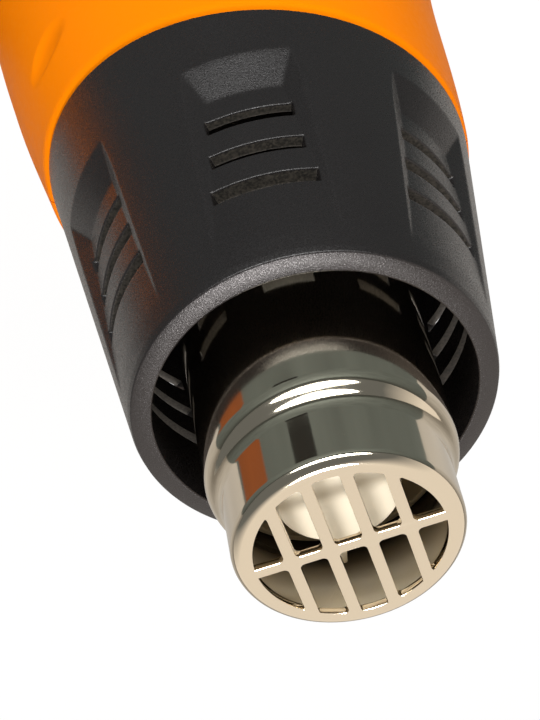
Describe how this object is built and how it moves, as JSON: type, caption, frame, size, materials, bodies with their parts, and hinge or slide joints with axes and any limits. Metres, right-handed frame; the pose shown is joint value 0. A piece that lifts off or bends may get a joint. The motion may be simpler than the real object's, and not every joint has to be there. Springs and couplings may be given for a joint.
{
  "type": "hot air tool",
  "caption": "Pistol-grip hot air tool that stands on its tail, with a chromed outlet nozzle behind a stamped grille, a vented tapered nose guard and a slide switch on the handle.",
  "frame": {"origin": "middle of the flat tail that the tool stands on, on the barrel's axis", "axes": "+Z along the barrel to the outlet, +X down the handle, +Y to the tool's left as its user holds it"},
  "size_m": [0.2112, 0.0862, 0.255],
  "materials": {
    "orange_plastic": "satin moulded",
    "black_plastic": "fine spark texture",
    "soft_rubber": "matt soft",
    "chrome": "bright plated, warm on the face",
    "steel": "zinc plated",
    "mica": "pale mineral board",
    "wire": "oxidised resistance wire",
    "inner_plastic": "plain moulded",
    "fan_plastic": "plain moulded",
    "motor_shell": "drawn can",
    "bronze": "sintered",
    "board": "lacquered"
  },
  "bodies": {
    "body": {"housing_right": "orange_plastic", "housing_left": "orange_plastic", "nose_guard": "black_plastic", "rear_cover": "black_plastic", "grip_right": "soft_rubber", "grip_left": "soft_rubber", "cord_gland": "soft_rubber", "outlet_nozzle": "chrome", "housing_screw_1": "steel", "housing_screw_2": "steel", "housing_screw_3": "steel", "housing_screw_4": "steel", "housing_screw_5": "steel", "housing_screw_6": "steel", "nozzle_screw_1": "steel", "nozzle_screw_2": "steel", "nozzle_screw_3": "steel", "thermal_cutout": "steel", "mica_sleeve": "mica", "mica_plate_a": "mica", "mica_plate_b": "mica", "air_baffle": "mica", "heating_coil_rear": "wire", "heating_coil_front": "wire", "fan_duct": "inner_plastic", "motor_end_cap": "inner_plastic", "switch_body": "inner_plastic", "diode_1": "inner_plastic", "diode_2": "inner_plastic", "diode_3": "inner_plastic", "diode_4": "inner_plastic", "motor_can": "motor_shell", "motor_bush": "bronze", "diode_board": "board"},
    "rotor": {"fan_impeller": "fan_plastic", "motor_shaft": "steel"},
    "slider": {"switch_slider": "black_plastic"}
  },
  "joints": [
    {"name": "fan_spin", "type": "hinge", "parent": "body", "child": "rotor", "pos_m": [0, 0, 0.045], "axis": [0, 0, 1], "continuous": true},
    {"name": "switch_slide", "type": "slide", "parent": "body", "child": "slider", "axis": [-0.9703, 0, 0.2419], "range_m": [0, 0.01]}
  ]
}
